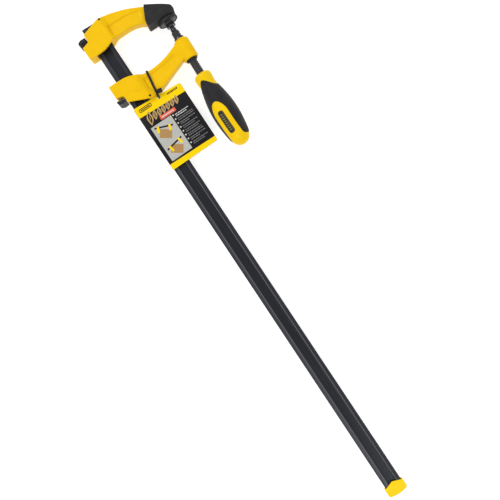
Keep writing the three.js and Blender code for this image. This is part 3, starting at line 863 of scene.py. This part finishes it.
# ---- swivel pad ----
def make_pad():
    """The steel pad with its spun socket collar."""
    profile = [(3.5, 0), (3.5, 11.6), (3.7, 12.1), (4.2, 12.4), (6.2, 12.4), (6.6, 12.2), (6.8, 11.8)]
    profile += [(6.9, 8.4), (7.1, 7.4), (7.6, 6.7), (8.4, 6.35), (9.4, 6.3), (12.6, 6.3), (12.9, 6.5)]
    profile += [(13.6, 6.5), (14.0, 6.3), (14.4, 5.9), (14.4, 5.5), (14.1, 5.3), (9.4, 5.3)]
    profile += [(9.4 - 5.3 * math.sin(a), 5.3 * math.cos(a)) for a in (0.3, 0.6, 0.9, 1.2)]
    profile += [(4.15, 0)]
    add_piece("pad_socket", lathe(profile, 96), DARK_STEEL, "swivel_pad", 35)


def make_pad_shoe():
    """The shoe clipped over the pad, with a scalloped rim and rings moulded in its face."""
    lobes, rim = 16, 14.4
    profile = [(2.4, 0), (2.4, 4.2), (2.8, 4.5), (2.8, 5.1), (2.4, 5.4)]
    profile += [(2.4, 8.2), (2.8, 8.5), (2.8, 9.1), (2.4, 9.4)]
    profile += [(2.4, rim - 0.9), (2.5, rim - 0.45), (2.8, rim - 0.12), (3.2, rim), (6.4, rim)]
    profile += [(6.85, rim - 0.12), (7.1, rim - 0.4), (7.2, rim - 0.8)]
    profile += [(7.2, 13.1), (7.0, 12.75), (3.2, 12.7), (3.2, 0)]

    def scalloped(x, r, angle):
        at_rim = smoothstep((r - 13) / 0.8)
        return r - 0.5 * at_rim * (0.5 - 0.5 * math.cos(lobes * angle)) ** 2

    add_piece("pad_shoe", lathe(profile, lobes * 12, scalloped), BLACK_PLASTIC, "swivel_pad_shoe", 35)


# ---- handle ----
# (x, radius) along the handle: ferrule, waist, palm swell, tail
SWELL = [(90.5, 9.4), (92.5, 11.8), (96, 12.7), (100.5, 12.5), (107.5, 11.8), (114, 13), (127.7, 16)]
SWELL += [(141.4, 17.9), (155.1, 18.5), (168.8, 17.8), (182.5, 16.1), (189.5, 14.7), (196.2, 11.7)]
SWELL += [(200.8, 7.2), (202.6, 2.6)]
SKIN = 2.5  # thickness of the rubber over the core
GRIP_X = 100.6  # tip of each rubber finger at the ferrule
FINGER = 13.6  # how much further back the grip begins at the handle's sides
WINDOW_X = (135.6, 155)  # front of each yellow window, and where it reaches its full width
WINDOW_HALF = 10.8
WINDOW_Y = 0.6
TAIL_X = 193
TANG_BORE = 6.1
HANDLE_SEGMENTS = 300  # round the handle
FINGER_SLANT = 1.4  # length along the handle per length across a finger's border
TAIL_BLEND = 5  # rounding where a window's border meets the tail's
FINGER_BLEND = 4  # and where they meet the fingers'
BED = 0.9  # how much deeper the core lies under the rubber
BORDER = 1.0  # width over which the rubber's edge rounds down into the core
BURIED = 1.3  # how deep the rubber lies below the skin outside its borders
SET_BACK = 0.15  # the yellow core stands this much below the rubber


def swell_curve(steps=22):
    """A smooth curve through the SWELL points."""
    points = [Vector(p) for p in SWELL]
    curve = []
    for i in range(len(points) - 1):
        before, here = points[max(i - 1, 0)], points[i]
        there, after = points[i + 1], points[min(i + 2, len(points) - 1)]
        for k in range(steps):
            t = k / steps
            bend = 2 * before - 5 * here + 4 * there - after
            twist = -before + 3 * here - 3 * there + after
            curve.append(here + ((there - before) * t + bend * t * t + twist * t**3) / 2)
    return curve + [points[-1]]


SWELL_CURVE = swell_curve()


def handle_body(inset, x0, x1):
    """The handle from x0 to x1 as a plain solid, this far inside its skin."""
    profile = [(x, max(r - inset, 0.5)) for x, r in SWELL_CURVE if x0 <= x <= x1]
    return lathe([(profile[0][0], 0), *profile, (profile[-1][0], 0)], 96)


def smooth_min(a, b, blend):
    """The lesser of two values, with the corner between them rounded."""
    mix = max(blend - abs(a - b), 0) / blend
    return min(a, b) - mix * mix * blend / 4


def into_rubber(x, r, angle):
    """Roughly how far a point on the handle's skin lies inside the rubber's borders, in millimetres."""
    y = r * math.cos(angle)
    around = 0.5 - 0.5 * math.cos(2 * math.asin(min(abs(math.cos(angle)), 1)))
    finger = (x - GRIP_X - FINGER * around**0.8) / FINGER_SLANT
    front, full = WINDOW_X
    ahead = max(full - x, 0) / (full - front)
    window = (math.hypot(ahead, (y - WINDOW_Y) / WINDOW_HALF) - 1) * WINDOW_HALF
    return smooth_min(finger, smooth_min(window, TAIL_X - x, TAIL_BLEND), FINGER_BLEND)


def rubber_radius(x, r, angle):
    return r - BURIED * (1 - smoothstep(into_rubber(x, r, angle) / BORDER + 0.5))


def core_radius(x, r, angle):
    return r - SET_BACK - BED * smoothstep(into_rubber(x, r, angle) / BORDER + 0.2)


BADGE_X = (149.8, 183.4)
BADGE_Y = 1
BADGE_HALF = 4.2
BADGE_DEPTH = 1.2


def badge_outline(inset):
    half = BADGE_HALF - inset
    return rectangle(BADGE_X[0] + inset, BADGE_X[1] - inset, BADGE_Y - half, BADGE_Y + half, half)


def on_the_face(outline, depth, proud):
    """A plate with this outline that follows the handle's face, from depth below it to proud above."""
    outer, longer = handle_body(-proud, 120, 197), handle_body(depth, 110, 199)
    skin = combined(outer, "DIFFERENCE", longer)
    return combined(slab(outline, 5, 25, 8), "INTERSECT", skin)


def make_handle_core():
    """The yellow core: ferrule, a window on each face and the tail stand proud of the bed for the rubber."""
    start, end = SWELL_CURVE[0].x, SWELL_CURVE[-1].x
    core = lathe([(start, 0), *SWELL_CURVE, (end, 0)], HANDLE_SEGMENTS, core_radius)
    recess = on_the_face(badge_outline(-0.25), BADGE_DEPTH + 0.25, 2)
    core = combined(core, "DIFFERENCE", lathe([(80, TANG_BORE), (177, TANG_BORE)], 48), recess)
    add_piece("handle_yellow_core", moved(core, HANDLE_FRAME), CORE_PLASTIC, "handle_core", 60)


def make_handle_grip():
    """The rubber fingers: a shell moulded round the core, whose rounded borders dip into it."""
    span = [(x, r) for x, r in SWELL_CURVE if GRIP_X - 2 < x < TAIL_X + 2]
    outer = rings_about_x(span, HANDLE_SEGMENTS, rubber_radius)
    hidden = span[::-10]  # the side against the core needs few rows
    inner = rings_about_x(hidden, HANDLE_SEGMENTS, lambda x, r, angle: r - SKIN)
    grip = moved(lofted(outer + inner, closed=True), HANDLE_FRAME)
    add_piece("handle_rubber_grip", grip, GRIP_RUBBER, "handle_grip", 60)


def make_badge():
    """A plain badge plate let into the core: a raised rim and a row of slanted bars."""
    plate = softened(on_the_face(badge_outline(0.05), BADGE_DEPTH, 0.1), 0.3, 2)
    add_piece("badge_plate", moved(plate, HANDLE_FRAME), BLACK_PLASTIC, "handle_badge", ALL_SMOOTH)
    rim = on_the_face(badge_outline(0.7), 0.3, 0.25)
    marks = [combined(rim, "DIFFERENCE", slab(badge_outline(1.05), 5, 25, 8))]
    low, high = BADGE_Y - 1.7, BADGE_Y + 1.7
    for k in range(8):
        x = 154.6 + 3.25 * k
        bar = [(x, low), (x + 1.5, low), (x + 2.3, high), (x + 0.8, high)]
        marks.append(on_the_face(bar, 0.3, 0.3))
    add_piece("badge_marks", moved(joined(marks), HANDLE_FRAME), INKS["olive"], "handle_badge")


# ---- hang tag ----
INK = 0.06  # thickness of a printed layer
TAG_HOLE = rectangle(84, 88.4, -69.8, -65.8, 1.2)


def tag_hole():
    """A cutter for the hole that the cable tie goes through."""
    low, high = cad_mm("hang_tag")
    return slab(TAG_HOLE, low.z - 1, high.z + 1)


def make_tag_card():
    low, high = cad_mm("hang_tag")
    outline = [(low.x, low.y, 3), (high.x, low.y, 3), (high.x - 1, high.y, 3), (low.x + 4.2, high.y, 3)]
    card = combined(slab(outline, low.z, high.z), "DIFFERENCE", tag_hole())
    add_piece("tag_card", bevelled(card, 0.12, 2), CARD_BLACK, "hang_tag")


def dashes(x, y0, y1, width, seed, longest=4.5):
    """A line of print run along Y as plain dashes of uneven length, which spell nothing."""
    dice = random.Random(seed)
    made = []
    y = y0
    while y < y1 - 1:
        length = min(dice.uniform(1.2, longest), y1 - y)
        made.append(rectangle(x, x + width, y, y + length))
        y += length + 0.6
    return made


def inset_outline(outline, stroke):
    """The outline drawn smaller about its middle, to leave a line of that width round it."""
    xs = [p[0] for p in outline]
    ys = [p[1] for p in outline]
    cx, cy = sum(xs) / len(xs), sum(ys) / len(ys)
    sx = 1 - 2 * stroke / (max(xs) - min(xs))
    sy = 1 - 2 * stroke / (max(ys) - min(ys))
    return [(cx + (x - cx) * sx, cy + (y - cy) * sy, *r) for x, y, *r in outline]


def tag_prints():
    """The tag's front, as inks and the outlines printed in each."""
    prints = {ink: [] for ink in ("yellow", "red", "panel", "pale", "grey", "black")}
    prints["yellow"].append([(81, -106.1, 2.8), (96.2, -106.1), (98.8, -33.3), (85.2, -33.3, 2.8)])
    prints["yellow"].append([(171.2, -106.1), (179.4, -106.1, 2.8), (178.4, -33.3, 2.8), (171.8, -33.3)])
    panel = [(115.6, -100.6, 0.4), (169, -100.6, 0.4), (168.4, -67.9, 0.4), (115.3, -67.9, 0.4)]
    prints["panel"].append(panel)
    for k in range(8):
        x = 117.3 + 6.3 * k
        prints["pale"].append(rectangle(x - 0.9, x + 0.9, -66.2, -64.4, 0.3))
        for line in range(2):
            end = -38.6 - (3.2 * ((3 * k + line) % 4)) * line - (3 if k == 0 else 0)
            ink = "pale" if k == 0 else "grey"
            prints[ink] += dashes(x + 0.2 + 2.6 * line, -62.6, end, 1, seed=10 * k + line)
    prints["red"].append(rectangle(108.4, 114.1, -82.2, -57.7, 0.5))
    prints["black"] += dashes(87.4, -56.3, -40.2, 2.6, seed=3, longest=1.9)
    prints["black"] += dashes(87.3, -98.6, -84.2, 2, seed=5, longest=2)
    return prints


def stroke_ring(outline, width, z0, z1):
    """A drawn line of that width round an outline, as a thin solid."""
    return combined(slab(outline, z0, z1), "DIFFERENCE", slab(inset_outline(outline, width), z0 - 1, z1 + 1))


def ornament(z0, z1):
    """A gold row of slanting leaves with open centres, the first one tall."""
    made = []
    for k, tall in enumerate((21, 14.5, 13.5, 13, 12.5, 12, 13.5)):
        wide = 7.2 if k else 9.5
        x, y = 103.5 - 0.35 * k, -92.5 + 7.1 * k - (1.2 if k == 0 else 0)
        leaf = [(-tall / 2, wide * 0.32, 2), (-tall * 0.12, -wide / 2, 4)]
        leaf += [(tall / 2, -wide * 0.32, 2), (tall * 0.12, wide / 2, 4)]
        leaf = [(x + u, y + v, radius) for u, v, radius in leaf]
        made.append(stroke_ring(leaf, 2.2, z0, z1))
        vein = [(-tall * 0.2, wide * 0.1), (0, -0.6), (tall * 0.2, -wide * 0.1), (0, 0.6)]
        made.append(slab([(x + u, y + v) for u, v in vein], z0, z1))
    return made


def turned_outline(outline, x, y, degrees):
    """An outline drawn about the origin, turned and put at (x, y)."""
    turn = math.radians(degrees)
    c, s = math.cos(turn), math.sin(turn)
    return [(x + px * c - py * s, y + px * s + py * c, *r) for px, py, *r in outline]


def pictograms():
    """Two small clamps at work on wood blocks: outlines by ink."""
    bar = rectangle(-1.1, 1.1, -13, 13)
    head = rectangle(-1.8, 7, 0, 3.2, 1)
    block = rectangle(-6, 6, -8.4, 8.4, 0.5)
    made = {"brown": [], "black": [], "yellow": []}
    for x, y, turn, block_x, block_y in ((123.2, -84.6, -20, 132.8, -87.2), (150, -84.6, 12, 158, -85.4)):
        made["brown"].append(turned_outline(block, block_x, block_y, -34))
        made["black"].append(turned_outline(bar, x, y, turn))
        for along in (-9.6, 6.6):
            shifted = [(px, py + along, *r) for px, py, *r in head]
            made["yellow"].append(turned_outline(shifted, x, y, turn))
    return made


def make_tag_prints():
    """Thin closed layers of ink on the front of the card, and a plainer set on its back."""
    low, high = cad_mm("hang_tag")
    hole = tag_hole()
    top = high.z
    for ink, outlines in tag_prints().items():
        layers = [slab(outline, top, top + INK) for outline in outlines]
        if ink == "yellow":
            layers[0] = combined(layers[0], "DIFFERENCE", hole)
        if ink == "black":
            plate = rectangle(85.6, 90.9, -101.2, -81.6, 2.4)
            layers = [moved(each, Matrix.Translation((0, 0, INK))) for each in layers]
            layers.append(stroke_ring(plate, 1, top + INK, top + 2 * INK))
        add_piece(f"tag_print_{ink}", joined(layers), INKS[ink], "hang_tag")
    add_piece("tag_print_gold", joined(ornament(top, top + 1.5 * INK)), INKS["gold"], "hang_tag")
    marks = dashes(110.4, -79.6, -60.2, 1.6, seed=8, longest=2)
    banner = [slab(outline, top + INK, top + 2 * INK) for outline in marks]
    add_piece("tag_banner_marks", joined(banner), INKS["pale"], "hang_tag")
    for level, (ink, outlines) in enumerate(pictograms().items(), start=1):
        layers = [slab(outline, top + level * INK, top + (level + 1) * INK) for outline in outlines]
        add_piece(f"tag_picture_{ink}", joined(layers), INKS[ink], "hang_tag")
    make_tag_back(low.z, hole)


def make_tag_back(z, hole):
    """The same yellow bands as on the front, a plain panel and lines of dashes."""
    head, foot = tag_prints()["yellow"]
    yellow = [combined(slab(head, z - INK, z), "DIFFERENCE", hole), slab(foot, z - INK, z)]
    add_piece("tag_back_yellow", joined(yellow), INKS["yellow"], "hang_tag")
    panel = box(104, 164, -100, -74, z - INK, z, radius=1)
    lines = []
    for k in range(9):
        lines += dashes(105 + 7 * k, -68, -40, 1, seed=100 + k)
    lines = [slab(line, z - INK, z) for line in lines]
    add_piece("tag_back_panel", joined([panel, *lines]), INKS["panel"], "hang_tag")


# ---- cable tie ----
TIE_MIDDLE = Vector((66.3, -65, 0))
TIE_TILT = math.radians(-8.2)
TIE_HALF = 19.3  # from its middle to its outside, across the arm
TIE_Z = 9.8  # and through the arm's thickness
TIE_THICK = 1.2
TIE_WIDTH = 3.2
TIE_CORNER = 2.4  # radius of its middle line at the corners
TIE_RIB = 0.22  # height of the ribs on its inside


def tie_path(steps=12):
    """Points and outward directions round the strap's middle line, in its own (u, z) plane."""
    half, height = TIE_HALF - TIE_THICK / 2, TIE_Z - TIE_THICK / 2
    path = []
    corners = ((1, 1, 0), (-1, 1, 90), (-1, -1, 180), (1, -1, 270))
    for sx, sz, start in corners:
        for k in range(steps + 1):
            angle = math.radians(start + 90 * k / steps)
            out = Vector((math.cos(angle), math.sin(angle)))
            centre = Vector((sx * (half - TIE_CORNER), sz * (height - TIE_CORNER)))
            path.append((centre + out * TIE_CORNER, out))
    return path


def evenly(path, spacing):
    """The closed path again with points about spacing apart."""
    made = []
    for (here, out), (there, turned) in zip(path, path[1:] + path[:1]):
        steps = max(1, round((there - here).length / spacing))
        for k in range(steps):
            t = k / steps
            made.append((here.lerp(there, t), out.lerp(turned, t).normalized()))
    return made


def make_cable_tie():
    """A ribbed strap looped round the arm and through the tag, its ratchet head and the trimmed end."""
    frame_of_tie = Matrix.Translation(TIE_MIDDLE) @ Matrix.Rotation(TIE_TILT, 4, "Z")
    half_wide, half_thick = TIE_WIDTH / 2, TIE_THICK / 2
    section = rounded(rectangle(-half_wide, half_wide, -half_thick, half_thick, 0.35), 3)
    rings = []
    for i, (place, out) in enumerate(evenly(tie_path(), 0.4)):
        ring = []
        for v, w in section:
            rib = TIE_RIB * (i % 2) if w < 0 and abs(v) < 1 else 0
            spot = place + out * (w + rib)
            ring.append((spot.x, v, spot.y))
        rings.append(ring)
    strap = lofted(rings, closed=True)
    z = TIE_Z
    head = box(11, 16.4, -0.6, 8.4, z - 1.1, z + 2.4, radius=0.8)
    slot = box(12.4, 15, 0.6, 2.2, z + 1.4, z + 3)
    pawl = box(12.2, 15.2, 3.6, 7.4, z + 1.9, z + 3)
    head = softened(combined(head, "DIFFERENCE", slot, pawl), 0.25, 2)
    stub = bevelled(box(12.5, 14.9, 0.9, 1.9, z - 1, z + 4.2), 0.2)
    tie = joined([strap, head, stub])
    add_piece("tie_strap", moved(tie, frame_of_tie), NYLON, "cable_tie")


# ---- the pieces inside, which keep their CAD shapes ----
HIDDEN_NODES = ["fixed_bite_block", "sliding_bite_block", "pad_keeper_ring"]
HIDDEN_NODES += ["pad_ball_cup", "handle_cross_pin"]


def dress_hidden_nodes():
    for node in HIDDEN_NODES:
        mesh = frame["nodes"][node].data
        mesh.materials.clear()
        mesh.materials.append(BRIGHT_STEEL)


def make_floor():
    z = cad_box[0].z / MM - FLOOR_GAP / MM
    sheet = box(-FLOOR_REACH, FLOOR_REACH, -FLOOR_REACH, FLOOR_REACH, z - FLOOR_THICK, z)
    sheet.transform(Matrix.Scale(MM, 4))
    sheet.materials.append(floor_paper())
    floor = bpy.data.objects.new("floor", sheet)
    link(floor)


make_bar()
make_end_cap()
make_fixed_head()
make_sliding_head()
make_cross_pins()
make_buttons()
make_button_springs()
make_boot()
make_spindle()
make_insert()
make_pad()
make_pad_shoe()
make_handle_core()
make_handle_grip()
make_badge()
make_tag_card()
make_tag_prints()
make_cable_tie()
dress_hidden_nodes()
make_floor()
